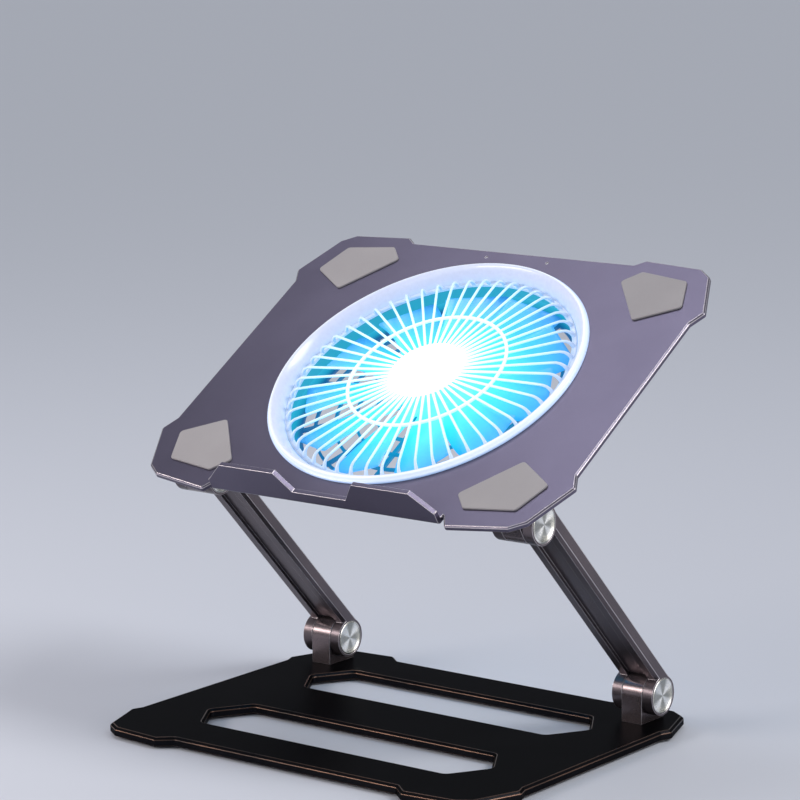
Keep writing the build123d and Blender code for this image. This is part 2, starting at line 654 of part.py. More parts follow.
# ---- control case behind the fan: an open-topped shell closed by the plate above it ----
CASE_X = 25.0
CASE_V = (95.0, 103.0)
CASE_N = -13.0
CASE_WALL = 1.4
CASE_CORNER_R = 1.2
CASE_BOSS_W = 6.0
CASE_SCREW_TOP = -0.5
CONTROL_BOARD = (34.0, 4.6)
BOARD_GAP = 0.1
INLET_X = -8.0
INLET_W = 9.0
INLET_H = 3.6
INLET_N = -7.2
INLET_DEEP = 5.0
INLET_CORNER_R = 1.6
INLET_WALL = 0.4
INLET_BACK_T = 0.8
INLET_TONGUE = (6.4, 0.8)
BUTTON_X = 9.0
BUTTON_R = 2.8
BUTTON_N = -7.2
BUTTON_PROUD = 1.5
BUTTON_GAP = 0.3
case_mid_v = (CASE_V[0] + CASE_V[1]) / 2
BACK_FACE = Plane(
    PLATE.from_local_coords(Vector(0, CASE_V[1], 0)), x_dir=(1, 0, 0), z_dir=PLATE.y_dir
)

with BuildPart() as control_case:
    with BuildSketch(PLATE.offset(CASE_N)) as footprint:
        with Locations((0, case_mid_v)):
            Rectangle(2 * CASE_X, CASE_V[1] - CASE_V[0])
        fillet(footprint.vertices(), radius=CASE_CORNER_R)
    extrude(amount=-CASE_N - PLATE_T)
    with BuildSketch(PLATE.offset(CASE_N + CASE_WALL)):
        with Locations((0, case_mid_v)):
            Rectangle(2 * (CASE_X - CASE_WALL - CASE_BOSS_W), CASE_V[1] - CASE_V[0] - 2 * CASE_WALL)
    extrude(amount=-CASE_N, mode=Mode.SUBTRACT)
    with BuildSketch(BACK_FACE):
        with Locations((INLET_X, -INLET_N)):
            RectangleRounded(INLET_W, INLET_H, INLET_CORNER_R)
        with Locations((BUTTON_X, -BUTTON_N)):
            Circle(BUTTON_R + BUTTON_GAP)
    extrude(amount=-CASE_WALL, mode=Mode.SUBTRACT)
    with BuildSketch(PLATE.offset(CASE_N)):
        with Locations(*CASE_SCREW_SPOTS):
            Circle(FAN_SCREW_R)
    extrude(amount=-CASE_N - PLATE_T, mode=Mode.SUBTRACT)
control_case.part.label = "control_case"
export_step(control_case.part, "parts/control_case.step")

with BuildPart() as control_board:
    with BuildSketch(PLATE.offset(CASE_N + CASE_WALL + BOARD_GAP)):
        with Locations((0, case_mid_v)):
            Rectangle(*CONTROL_BOARD)
    extrude(amount=BOARD_T)
control_board.part.label = "control_board"
export_step(control_board.part, "parts/control_board.step")

with BuildPart() as power_inlet:
    with BuildSketch(BACK_FACE) as socket_shell:
        with Locations((INLET_X, -INLET_N)):
            RectangleRounded(INLET_W, INLET_H, INLET_CORNER_R)
            RectangleRounded(
                INLET_W - 2 * INLET_WALL, INLET_H - 2 * INLET_WALL, INLET_CORNER_R - INLET_WALL,
                mode=Mode.SUBTRACT,
            )
    extrude(amount=-INLET_DEEP)
    with BuildSketch(BACK_FACE.offset(-INLET_DEEP)):
        with Locations((INLET_X, -INLET_N)):
            RectangleRounded(INLET_W, INLET_H, INLET_CORNER_R)
    extrude(amount=INLET_BACK_T)
    with BuildSketch(BACK_FACE.offset(-INLET_DEEP)):
        with Locations((INLET_X, -INLET_N)):
            Rectangle(*INLET_TONGUE)
    extrude(amount=INLET_DEEP - INLET_BACK_T)
power_inlet.part.label = "power_inlet"
export_step(power_inlet.part, "parts/power_inlet.step")

# ---- speed button in the case's back face ----
BUTTON_STEM = 3.0
BUTTON_EDGE_R = 0.6

with BuildPart() as speed_button:
    with BuildSketch(BACK_FACE.offset(-BUTTON_STEM)):
        with Locations((BUTTON_X, -BUTTON_N)):
            Circle(BUTTON_R)
    extrude(amount=BUTTON_STEM + BUTTON_PROUD)
    outer_face = speed_button.faces().sort_by(Axis(BACK_FACE.origin, BACK_FACE.z_dir))[-1]
    fillet(outer_face.edges(), radius=BUTTON_EDGE_R)
speed_button.part.label = "speed_button"
export_step(speed_button.part, "parts/speed_button.step")

# ---- screws: six through the housing flange into the collar, two up through the case ----
with BuildPart() as housing_screws:
    with BuildSketch(PLATE.offset(-PLATE_T - HOUSING_FLANGE_T - FAN_SCREW_HEAD_T)):
        with PolarLocations(FAN_SCREW_RING, FAN_SCREWS, start_angle=FAN_SCREW_START):
            Circle(FAN_SCREW_HEAD_R)
    extrude(amount=FAN_SCREW_HEAD_T)
    with BuildSketch(PLATE.offset(-PLATE_T - HOUSING_FLANGE_T)):
        with PolarLocations(FAN_SCREW_RING, FAN_SCREWS, start_angle=FAN_SCREW_START):
            Circle(FAN_SCREW_R)
    extrude(amount=PLATE_T + HOUSING_FLANGE_T + COLLAR_BITE)
housing_screws.part.label = "housing_screws"
export_step(housing_screws.part, "parts/housing_screws.step")

with BuildPart() as case_screws:
    with BuildSketch(PLATE.offset(CASE_N - FAN_SCREW_HEAD_T)):
        with Locations(*CASE_SCREW_SPOTS):
            Circle(FAN_SCREW_HEAD_R)
    extrude(amount=FAN_SCREW_HEAD_T)
    with BuildSketch(PLATE.offset(CASE_N)):
        with Locations(*CASE_SCREW_SPOTS):
            Circle(FAN_SCREW_R)
    extrude(amount=CASE_SCREW_TOP - CASE_N)
case_screws.part.label = "case_screws"
export_step(case_screws.part, "parts/case_screws.step")
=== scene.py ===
import bpy
import json
import math
from mathutils import Matrix, Vector


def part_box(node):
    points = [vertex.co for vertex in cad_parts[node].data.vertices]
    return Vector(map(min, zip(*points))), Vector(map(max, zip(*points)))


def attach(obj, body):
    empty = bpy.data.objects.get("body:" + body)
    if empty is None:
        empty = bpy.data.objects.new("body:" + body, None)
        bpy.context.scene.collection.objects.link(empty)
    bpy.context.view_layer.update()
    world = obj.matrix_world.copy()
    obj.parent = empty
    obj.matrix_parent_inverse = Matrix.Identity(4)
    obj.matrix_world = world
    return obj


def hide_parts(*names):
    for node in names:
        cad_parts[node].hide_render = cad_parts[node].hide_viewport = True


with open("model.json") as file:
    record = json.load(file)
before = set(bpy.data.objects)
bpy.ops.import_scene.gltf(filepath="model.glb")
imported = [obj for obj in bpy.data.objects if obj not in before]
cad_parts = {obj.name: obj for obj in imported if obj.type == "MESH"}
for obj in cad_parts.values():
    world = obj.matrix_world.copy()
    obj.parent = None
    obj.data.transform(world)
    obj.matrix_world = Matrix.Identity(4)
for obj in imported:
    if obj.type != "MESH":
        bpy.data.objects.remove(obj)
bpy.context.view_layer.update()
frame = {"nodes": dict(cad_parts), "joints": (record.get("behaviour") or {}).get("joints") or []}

nodes = frame["nodes"]
joints = {joint["name"]: joint for joint in frame["joints"]}

# ---- camera ----
# A long lens at the height of a seated person's eyes, to the right of the stand and in front.
CAMERA_AT = (1.1206, -1.4713, 0.5257)
CAMERA_TURN = (79.54, -0.35, 37.37)     # tip up from straight down, roll, turn to the left
LENS = 155.5

camera_data = bpy.data.cameras.new("camera")
camera_data.lens = LENS
camera_data.sensor_width = 36
camera_data.clip_end = 50
camera = bpy.data.objects.new("camera", camera_data)
bpy.context.scene.collection.objects.link(camera)
camera.matrix_world = (
    Matrix.Translation(CAMERA_AT)
    @ Matrix.Rotation(math.radians(CAMERA_TURN[2]), 4, "Z")
    @ Matrix.Rotation(math.radians(CAMERA_TURN[0]), 4, "X")
    @ Matrix.Rotation(math.radians(CAMERA_TURN[1]), 4, "Z")
)
bpy.context.scene.camera = camera


# ---- studio ----
# A wide pale floor, one broad lamp high on the right, soft boxes that draw the bright bands on
# the plate and the hinges, and a dim even sky.
def alone(piece):
    """Select one object and nothing else."""
    bpy.ops.object.select_all(action="DESELECT")
    piece.select_set(True)
    bpy.context.view_layer.objects.active = piece


def settle(piece):
    """Put the object's place into its mesh, so that it stands at the origin unturned."""
    alone(piece)
    bpy.ops.object.transform_apply(location=True, rotation=True, scale=True)


def link(tree, out_node, out_name, in_node, in_name):
    tree.links.new(out_node.outputs[out_name], in_node.inputs[in_name])


floor_finish = bpy.data.materials.new("studio_floor")
floor_finish.use_nodes = True
floor_shader = floor_finish.node_tree.nodes["Principled BSDF"]
floor_shader.inputs["Base Color"].default_value = (0.58, 0.61, 0.68, 1)
floor_shader.inputs["Roughness"].default_value = 0.6

bpy.ops.object.select_all(action="DESELECT")
bpy.ops.mesh.primitive_plane_add(size=60, location=(0, 0, 0))
floor = bpy.context.object
floor.name = "floor"
bpy.ops.object.mode_set(mode="EDIT")
bpy.ops.mesh.select_all(action="SELECT")
bpy.ops.mesh.subdivide(number_cuts=3)
bpy.ops.object.mode_set(mode="OBJECT")
floor.data.materials.append(floor_finish)
settle(floor)

SOFT_BOXES = (
    # name, where it stands, what it points at, width, height, watts, colour
    ("plate_box", (-0.58, 0.26, 1.50), (0.08, 0, 0.2), 0.50, 0.60, 3.6, (0.93, 0.92, 1.0)),
    ("hinge_strip", (-0.79, -1.0, 0.58), (0.11, 0.07, 0.02), 0.90, 0.24, 9, (1.0, 0.90, 0.84)),
    ("side_box", (1.5, 0.6, 0.35), (0.1, 0, 0.15), 1.0, 0.9, 8, (1.0, 0.95, 0.92)),
    ("front_box", (0.3, -2.0, 0.7), (0, 0, 0.1), 1.6, 0.5, 4, (0.95, 0.96, 1.0)),
)


def hang(name, kind, place, target, power, colour):
    """Hang a lamp at a place, pointed at a target."""
    lamp_data = bpy.data.lights.new(name, kind)
    lamp_data.energy = power
    lamp_data.color = colour
    lamp = bpy.data.objects.new(name, lamp_data)
    bpy.context.scene.collection.objects.link(lamp)
    aim = Vector(target) - Vector(place)
    lamp.matrix_world = Matrix.Translation(place) @ aim.to_track_quat("-Z", "Y").to_matrix().to_4x4()
    return lamp_data


for name, place, target, width, height, power, colour in SOFT_BOXES:
    box = hang(name, "AREA", place, target, power, colour)
    box.shape = "RECTANGLE"
    box.size = width
    box.size_y = height
broad_lamp = hang("broad_lamp", "SUN", (1.14, 0.38, 1.30), (0.1, 0, 0.15), 1.35, (1.0, 0.98, 0.96))
broad_lamp.angle = math.radians(24)

sky = bpy.data.worlds.new("sky")
sky.use_nodes = True
sky.node_tree.nodes["Background"].inputs["Color"].default_value = (0.80, 0.83, 0.90, 1)
sky.node_tree.nodes["Background"].inputs["Strength"].default_value = 0.42
bpy.context.scene.world = sky
bpy.context.scene.view_settings.view_transform = "Standard"


# ---- base plate ----
# A 5 mm sheet of aluminium, cut with two long six-sided slots and milled along its straight
# edges, then sand-blasted and anodised near black. Brown on its bevels is a painted highlight.
def metal(name, colour, shade, roughness, grain, grain_size=2600, metallic=0.85):
    """Blasted, anodised aluminium: even colour with faint clouds, fine grain, uneven sheen."""
    finish = bpy.data.materials.new(name)
    finish.use_nodes = True
    tree = finish.node_tree
    shader = tree.nodes["Principled BSDF"]
    shader.inputs["Metallic"].default_value = metallic
    place = tree.nodes.new("ShaderNodeTexCoord")
    clouds = tree.nodes.new("ShaderNodeTexNoise")
    clouds.inputs["Scale"].default_value = 22
    clouds.inputs["Detail"].default_value = 4
    link(tree, place, "Object", clouds, "Vector")
    tint = tree.nodes.new("ShaderNodeValToRGB")
    tint.color_ramp.elements[0].position = 0.32
    tint.color_ramp.elements[0].color = (*shade, 1)
    tint.color_ramp.elements[1].position = 0.68
    tint.color_ramp.elements[1].color = (*colour, 1)
    link(tree, clouds, "Fac", tint, "Fac")
    link(tree, tint, "Color", shader, "Base Color")
    speckle = tree.nodes.new("ShaderNodeTexNoise")
    speckle.inputs["Scale"].default_value = grain_size
    speckle.inputs["Detail"].default_value = 2
    link(tree, place, "Object", speckle, "Vector")
    sheen = tree.nodes.new("ShaderNodeMapRange")
    sheen.inputs["From Min"].default_value = 0.3
    sheen.inputs["From Max"].default_value = 0.7
    sheen.inputs["To Min"].default_value = roughness - 0.06
    sheen.inputs["To Max"].default_value = roughness + 0.06
    link(tree, speckle, "Fac", sheen, "Value")
    link(tree, sheen, "Result", shader, "Roughness")
    bump = tree.nodes.new("ShaderNodeBump")
    bump.inputs["Strength"].default_value = grain
    bump.inputs["Distance"].default_value = 0.0001
    link(tree, speckle, "Fac", bump, "Height")
    link(tree, bump, "Normal", shader, "Normal")
    return finish


def eased(name, node, body, finish, width, edge_finish=None, keep_angle=28):
    """A copy of a cut part with its sharp edges broken by a small rounded bevel. A second finish,
    where one is given, goes on the bevel's faces: a painted highlight, and barer metal on bright-cut edges."""
    alone(nodes[node])
    bpy.ops.object.duplicate()
    piece = bpy.context.object
    piece.name = name
    piece.parent = None
    for key in list(piece.keys()):
        del piece[key]
    bpy.ops.object.mode_set(mode="EDIT")
    bpy.ops.mesh.select_all(action="SELECT")
    bpy.ops.mesh.remove_doubles(threshold=1e-6)
    bpy.ops.mesh.dissolve_limited(angle_limit=math.radians(0.5))
    bpy.ops.object.mode_set(mode="OBJECT")
    piece.data.materials.clear()
    piece.data.materials.append(finish)
    bevel = piece.modifiers.new("broken edge", "BEVEL")
    bevel.width = width
    bevel.segments = 2
    bevel.limit_method = "ANGLE"
    bevel.angle_limit = math.radians(keep_angle)
    bevel.use_clamp_overlap = False
    bevel.loop_slide = False
    if edge_finish:
        piece.data.materials.append(edge_finish)
        bevel.material = 1
    bpy.ops.object.modifier_apply(modifier=bevel.name)
    bpy.ops.object.shade_smooth_by_angle(angle=math.radians(40))
    flatten = piece.modifiers.new("even shading", "WEIGHTED_NORMAL")
    flatten.weight = 80
    flatten.keep_sharp = True
    bpy.ops.object.modifier_apply(modifier=flatten.name)
    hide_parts(node)
    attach(piece, body)
    return piece


base_black = metal("anodised_black", (0.011, 0.011, 0.013), (0.007, 0.007, 0.009), 0.36, 0.25)
base_black.node_tree.nodes["Principled BSDF"].inputs["Specular Tint"].default_value = (0.25, 0.25, 0.28, 1)
base_black.node_tree.nodes["Principled BSDF"].inputs["Specular IOR Level"].default_value = 0.25
# The brown bevel finish is a painted highlight, standing for the copper glints along the edges.
painted_brown_highlight = metal("painted_brown_highlight", (0.15, 0.085, 0.06), (0.02, 0.018, 0.018), 0.3, 0.1, 60)
eased("base_sheet", "base_plate", "base", base_black, 0.0003, painted_brown_highlight)

# ---- feet ----
# Four moulded rubber discs glued under the corner tabs, dull and slightly dusty.
foot_rubber = metal("foot_rubber", (0.035, 0.034, 0.033), (0.022, 0.022, 0.022), 0.8, 0.4, 1800, 0.0)
nodes["base_feet"].data.materials.clear()
nodes["base_feet"].data.materials.append(foot_rubber)

# ---- hinge lugs ----
# Turned and milled aluminium lugs, polished and anodised bronze grey: two stand on the base
# plate, and two hang under the top plate by a screwed flange.
lug_bronze = metal("polished_bronze_grey", (0.20, 0.162, 0.172), (0.155, 0.13, 0.14), 0.24, 0.05)
# Pale bevel finish: partly the bare metal of bright-cut edges, partly a painted highlight along them.
bared_edge_and_highlight = metal("bared_metal_and_highlight_edge", (0.62, 0.58, 0.60), (0.45, 0.42, 0.45), 0.3, 0.05)
for side in ("left", "right"):
    for level, body in (("base", "base"), ("top", "plate")):
        block = f"{level}_hinge_block_{side}"
        eased(f"{level}_lug_{side}", block, body, lug_bronze, 0.0002, bared_edge_and_highlight)

# ---- arms ----
# Two forked bars, milled from aluminium with a wide shallow channel down the front face and
# round ears at both ends, anodised dark bronze grey.
arm_bronze = metal("anodised_bronze_grey", (0.135, 0.112, 0.122), (0.108, 0.092, 0.104), 0.32, 0.15)
for side in ("left", "right"):
    eased(f"arm_bar_{side}", f"arm_{side}", "arms", arm_bronze, 0.0002, bared_edge_and_highlight)

# ---- hinge caps ----
# Eight spun steel discs in the faces of the ears, each with a rolled rim and a slightly dished
# middle. The fans of light and shade that its lathe marks throw are painted round the face.
CAP_SEGMENTS = 64
CAP_THICK = 0.0012
FAN_SPAN = 0.125            # half of one light and dark fan, in turns round the cap
FAN_DARK_TO = 0.03
FAN_LIGHT_FROM = 0.105
FAN_DARKEST = 0.22
spun_steel = metal("spun_steel", (0.80, 0.80, 0.77), (0.70, 0.70, 0.68), 0.24, 0.0, 900, 1.0)
spun_shader = spun_steel.node_tree.nodes["Principled BSDF"]
spun_shader.inputs["Anisotropic"].default_value = 0.75
lay = spun_steel.node_tree.nodes.new("ShaderNodeTangent")
lay.direction_type = "UV_MAP"
lay.uv_map = "spun"
link(spun_steel.node_tree, lay, "Tangent", spun_shader, "Tangent")
round_about = spun_steel.node_tree.nodes.new("ShaderNodeUVMap")
round_about.uv_map = "spun"
split = spun_steel.node_tree.nodes.new("ShaderNodeSeparateXYZ")
link(spun_steel.node_tree, round_about, "UV", split, "Vector")
fans = spun_steel.node_tree.nodes.new("ShaderNodeMath")
fans.operation = "PINGPONG"
fans.inputs[1].default_value = FAN_SPAN
link(spun_steel.node_tree, split, "X", fans, 0)
fan_tone = spun_steel.node_tree.nodes.new("ShaderNodeMapRange")
fan_tone.interpolation_type = "SMOOTHSTEP"
fan_tone.inputs["From Min"].default_value = FAN_DARK_TO
fan_tone.inputs["From Max"].default_value = FAN_LIGHT_FROM
fan_tone.inputs["To Min"].default_value = FAN_DARKEST
link(spun_steel.node_tree, fans, "Value", fan_tone, "Value")
fan_colour = spun_steel.node_tree.nodes.new("ShaderNodeMix")
fan_colour.data_type = "RGBA"
fan_colour.inputs["A"].default_value = (0.24, 0.245, 0.215, 1)
fan_colour.inputs["B"].default_value = (0.92, 0.92, 0.88, 1)
link(spun_steel.node_tree, fan_tone, "Result", fan_colour, "Factor")
link(spun_steel.node_tree, fan_colour, "Result", spun_shader, "Base Color")


def lift_ring(grow, move):
    """Extrude the selected rim outwards or inwards by a factor, and then along X."""
    bpy.ops.mesh.extrude_region_move()
    bpy.ops.transform.resize(value=(1, grow, grow))
    bpy.ops.transform.translate(value=(move, 0, 0))


arm_low, arm_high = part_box("arm_right")
CAP_SPOTS = (
    # where the cap's back sits along X, and the way that it faces
    (arm_high.x - CAP_THICK, 1), (arm_low.x + CAP_THICK, -1),
    (-arm_high.x + CAP_THICK, -1), (-arm_low.x - CAP_THICK, 1),
)
for level in ("base", "top"):
    low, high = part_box(f"{level}_hinge_caps")
    middle = (low + high) / 2
    cap_r = (high.y - low.y) / 2
    for number, (seat_x, way) in enumerate(CAP_SPOTS):
        bpy.ops.object.select_all(action="DESELECT")
        bpy.ops.mesh.primitive_circle_add(
            vertices=CAP_SEGMENTS, radius=cap_r, fill_type="NGON",
            location=(seat_x, middle.y, middle.z), rotation=(0, math.radians(90), 0),
        )
        cap = bpy.context.object
        cap.name = f"{level}_cap_{number}"
        settle(cap)
        bpy.ops.object.mode_set(mode="EDIT")
        bpy.ops.mesh.select_all(action="SELECT")
        lift_ring(1.0, way * (CAP_THICK - 0.00025))
        lift_ring(0.975, way * 0.0002)
        lift_ring(0.94, way * 0.00005)
        lift_ring(0.975, way * -0.00015)
        lift_ring(0.5, way * -0.00005)
        lift_ring(0.1, way * -0.00002)
        bpy.ops.mesh.select_all(action="SELECT")
        bpy.ops.mesh.normals_make_consistent(inside=False)
        bpy.ops.object.mode_set(mode="OBJECT")
        bpy.ops.object.shade_smooth_by_angle(angle=math.radians(35))
        spun = cap.data.uv_layers.new(name="spun")
        for face in cap.data.polygons:
            facing = face.center - middle
            face_turn = math.atan2(facing.z, facing.y)
            for loop in face.loop_indices:
                arm = cap.data.vertices[cap.data.loops[loop].vertex_index].co - middle
                turn = math.atan2(arm.z, arm.y) - face_turn
                turn = (turn + math.pi) % (2 * math.pi) - math.pi + face_turn
                spun.data[loop].uv = (turn / (2 * math.pi), math.hypot(arm.y, arm.z) / cap_r)
        cap.data.materials.append(spun_steel)
        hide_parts(f"{level}_hinge_caps")
        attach(cap, "arms" if level == "base" else "top_pins")

# ---- pins, washers, bearings and screws ----
# Turned steel, left bright. Only screw heads, washer rims and the motor's shaft end can be seen.
bright_steel = metal("turned_steel", (0.55, 0.55, 0.56), (0.45, 0.45, 0.46), 0.28, 0.1, 1500, 1.0)
for name in (
    "base_hinge_pin_left", "base_hinge_pin_right", "top_hinge_pin_left", "top_hinge_pin_right",
    "base_friction_washers", "top_friction_washers", "base_block_screws", "top_block_screws",
    "housing_screws", "case_screws", "motor_bearing", "motor_shaft", "power_inlet",
):
    nodes[name].data.materials.clear()
    nodes[name].data.materials.append(bright_steel)

# ---- top plate ----
# A 3 mm sheet of aluminium with tabs at its corners. Its front edge is bent up into a low band
# with two lips that stop the laptop, and it is blasted and anodised purple grey.
plate_grey = metal("anodised_purple_grey", (0.128, 0.116, 0.170), (0.112, 0.101, 0.150), 0.36, 0.25)
eased("top_sheet", "top_plate", "plate", plate_grey, 0.00025, bared_edge_and_highlight)

# ---- silicone pads ----
# Four five-sided pads of grey silicone, moulded with soft edges and glued on near the corners.
silicone = metal("grey_silicone", (0.36, 0.345, 0.355), (0.32, 0.305, 0.315), 0.62, 0.35, 1400, 0.0)
for row in ("front", "back"):
    for side in ("left", "right"):
        eased(f"grip_{row}_{side}", f"pad_{row}_{side}", "plate", silicone, 0.0002, None, 50)

# ---- fan collar ----
# A moulded ring of milky plastic that drops into the plate's round hole: a flat flange, a raised
# rim and a bowl wall sloping down to the grille. Its glow from the lights under it is painted on.
FAN_DEPTH = 0.010           # the fan's joint lies this far below the plate's face
axis = Vector(joints["fan_spin"]["axis"])
fan_tilt = math.atan2(-axis.y, axis.z)
fan_place = Matrix.Translation(Vector(joints["fan_spin"]["pos_m"]) + FAN_DEPTH * axis)
fan_place = fan_place @ Matrix.Rotation(fan_tilt, 4, "X")
RING_SEGMENTS = 144
GLOW_REACH = 100.0


def on_plate(piece):
    """Lift a piece that was made flat at the origin to its place on the sloping plate."""
    piece.matrix_world = fan_place @ piece.matrix_world
    settle(piece)


def turned(name, outline, segments=RING_SEGMENTS, closed=True):
    """A lathe-turned ring or dome: a circle is extruded from point to point of its outline, in
    millimetres from the fan's axis and from the plate's face."""
    first_r, first_n = outline[0]
    bpy.ops.object.select_all(action="DESELECT")
    bpy.ops.mesh.primitive_circle_add(
        vertices=segments, radius=first_r / 1000, fill_type="NOTHING", location=(0, 0, first_n / 1000)
    )
    piece = bpy.context.object
    piece.name = name
    settle(piece)
    bpy.ops.object.mode_set(mode="EDIT")
    bpy.ops.mesh.select_all(action="SELECT")
    last_r, last_n = first_r, first_n
    stops = list(outline[1:]) + ([outline[0]] if closed else [])
    for r, n in stops:
        bpy.ops.mesh.extrude_region_move()
        bpy.ops.transform.resize(value=(r / last_r, r / last_r, 1))
        bpy.ops.transform.translate(value=(0, 0, (n - last_n) / 1000))
        last_r, last_n = r, n
    bpy.ops.mesh.select_all(action="SELECT")
    bpy.ops.mesh.remove_doubles(threshold=1e-6)
    if not closed:
        bpy.ops.mesh.fill_holes(sides=0)
    bpy.ops.mesh.normals_make_consistent(inside=False)
    bpy.ops.object.mode_set(mode="OBJECT")
    return piece


def plastic(name, colour, roughness, glow=None, glow_power=0.0):
    """Moulded plastic with a faint orange-peel skin. A glow is a list of distances from the fan's
    axis, in millimetres, each with the colour painted on there as emission, for the light through the
    plastic."""
    finish = bpy.data.materials.new(name)
    finish.use_nodes = True
    tree = finish.node_tree
    shader = tree.nodes["Principled BSDF"]
    shader.inputs["Roughness"].default_value = roughness
    shader.inputs["IOR"].default_value = 1.49
    place = tree.nodes.new("ShaderNodeTexCoord")
    peel = tree.nodes.new("ShaderNodeTexNoise")
    peel.inputs["Scale"].default_value = 420
    peel.inputs["Detail"].default_value = 3
    link(tree, place, "Object", peel, "Vector")
    tint = tree.nodes.new("ShaderNodeValToRGB")
    tint.color_ramp.elements[0].position = 0.3
    tint.color_ramp.elements[0].color = (*[0.93 * c for c in colour], 1)
    tint.color_ramp.elements[1].position = 0.7
    tint.color_ramp.elements[1].color = (*colour, 1)
    link(tree, peel, "Fac", tint, "Fac")
    link(tree, tint, "Color", shader, "Base Color")
    bump = tree.nodes.new("ShaderNodeBump")
    bump.inputs["Strength"].default_value = 0.08
    bump.inputs["Distance"].default_value = 0.0003
    link(tree, peel, "Fac", bump, "Height")
    link(tree, bump, "Normal", shader, "Normal")
    if glow:
        from_middle = tree.nodes.new("ShaderNodeVectorMath")
        from_middle.operation = "SUBTRACT"
        from_middle.inputs[1].default_value = fan_place.translation
        link(tree, place, "Object", from_middle, "Vector")
        swing = tree.nodes.new("ShaderNodeVectorMath")
        swing.operation = "CROSS_PRODUCT"
        swing.inputs[1].default_value = axis
        link(tree, from_middle, "Vector", swing, "Vector")
        reach = tree.nodes.new("ShaderNodeVectorMath")
        reach.operation = "LENGTH"
        link(tree, swing, "Vector", reach, "Vector")
        share = tree.nodes.new("ShaderNodeMapRange")
        share.inputs["From Max"].default_value = GLOW_REACH / 1000
        link(tree, reach, "Value", share, "Value")
        light = tree.nodes.new("ShaderNodeValToRGB")
        stops = light.color_ramp.elements
        while len(stops) < len(glow):
            stops.new(1.0)
        for stop, (distance, shine) in zip(stops, glow):
            stop.position = distance / GLOW_REACH
            stop.color = (*shine, 1)
        link(tree, share, "Result", light, "Fac")
        link(tree, light, "Color", shader, "Emission Color")
        shader.inputs["Emission Strength"].default_value = glow_power
    return finish


# Painted glow, blue grey through the bowl, with a near-white painted highlight along the top of the rim.
collar_milk = plastic("milky_plastic", (0.56, 0.57, 0.68), 0.2, [
    (84.0, (0.16, 0.34, 0.50)), (86.0, (0.26, 0.33, 0.48)), (89.0, (0.33, 0.37, 0.50)),
    (90.3, (0.34, 0.42, 0.55)), (91.0, (0.85, 0.97, 1.0)), (93.0, (0.22, 0.42, 0.72)),
], 0.7)
collar = turned("collar_ring", (
    (93.0, 0.02), (93.1, 0.5), (92.9, 1.0), (92.2, 1.25), (91.7, 1.6), (91.6, 2.6), (91.3, 3.2),
    (90.6, 3.6), (89.9, 3.5), (89.2, 2.9), (87.6, 0.8), (86.0, -2.0), (84.9, -4.2), (84.6, -5.0),
    (84.7, -5.95), (86.4, -5.95), (87.4, -4.0), (88.2, -1.0), (88.3, 0.02),
))
alone(collar)
bpy.ops.object.shade_smooth_by_angle(angle=math.radians(50))
collar.data.materials.append(collar_milk)
on_plate(collar)
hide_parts("fan_collar")
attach(collar, "plate")

# ---- fan grille ----
# One white moulding: fifty-two thin spokes from a hub plate, a ring half way out, and rounded
# feet where each spoke turns down to a seat ring at the foot of the collar.
SPOKES = 52
# Painted glow: near white by the hub, fading to dark blue at the seat ring.
grille_white = plastic("grille_white", (0.70, 0.78, 0.88), 0.22, [
    (20.0, (0.75, 1.0, 1.0)), (46.0, (0.42, 0.78, 0.90)), (72.0, (0.20, 0.46, 0.66)),
    (80.0, (0.09, 0.20, 0.38)), (84.0, (0.02, 0.07, 0.18)),
], 0.8)
SPOKE_STOPS = (
    # distance out, height, thickness, all in mm, and slope in degrees
    (20.0, 0.80, 0.80, 0), (22.5, 0.80, 0.78, 0), (48.0, 0.80, 0.74, 0), (74.0, 0.80, 0.74, 0),
    (77.5, 0.62, 0.76, 14), (79.6, -0.10, 0.82, 34), (81.0, -1.3, 0.95, 56), (82.0, -2.7, 1.15, 74),
    (82.5, -3.9, 1.30, 84), (82.7, -4.9, 1.25, 90), (82.7, -5.6, 0.85, 90), (82.7, -5.85, 0.4, 90),
)
bpy.ops.object.select_all(action="DESELECT")
bpy.ops.mesh.primitive_circle_add(
    vertices=10, radius=SPOKE_STOPS[0][2] / 1000, fill_type="NGON",
    location=(SPOKE_STOPS[0][0] / 1000, 0, SPOKE_STOPS[0][1] / 1000), rotation=(0, math.radians(90), 0),
)
spoke = bpy.context.object
spoke.name = "grille_spoke"
settle(spoke)
bpy.ops.object.mode_set(mode="EDIT")
bpy.ops.mesh.select_all(action="SELECT")
for before, after in zip(SPOKE_STOPS, SPOKE_STOPS[1:]):
    out, up, thick, slope = (b - a for a, b in zip(before, after))
    bpy.ops.mesh.extrude_region_move(TRANSFORM_OT_translate={"value": (out / 1000, 0, up / 1000)})
    centre = (after[0] / 1000, 0, after[1] / 1000)
    grow = after[2] / before[2]
    bpy.ops.transform.resize(value=(grow, grow, grow), center_override=centre)
    if slope:
        bpy.ops.transform.rotate(value=-math.radians(slope), orient_axis="Y", center_override=centre)
bpy.ops.mesh.select_all(action="SELECT")
bpy.ops.mesh.normals_make_consistent(inside=False)
bpy.ops.object.mode_set(mode="OBJECT")
cage = [spoke]
for number in range(1, SPOKES):
    turn_copy = spoke.copy()
    turn_copy.data = spoke.data.copy()
    turn_copy.rotation_euler.z = 2 * math.pi * number / SPOKES
    bpy.context.scene.collection.objects.link(turn_copy)
    cage.append(turn_copy)
cage.append(turned("grille_ring", (
    (46.9, 0.3), (47.0, 0.8), (46.8, 1.4), (46.0, 1.6), (45.2, 1.4), (45.0, 0.8), (45.1, 0.3), (46.0, 0.05),
)))
cage.append(turned("grille_seat", (
    (84.5, -5.9), (84.5, -4.6), (84.0, -4.4), (81.9, -4.4), (81.5, -4.7), (81.5, -5.9),
)))
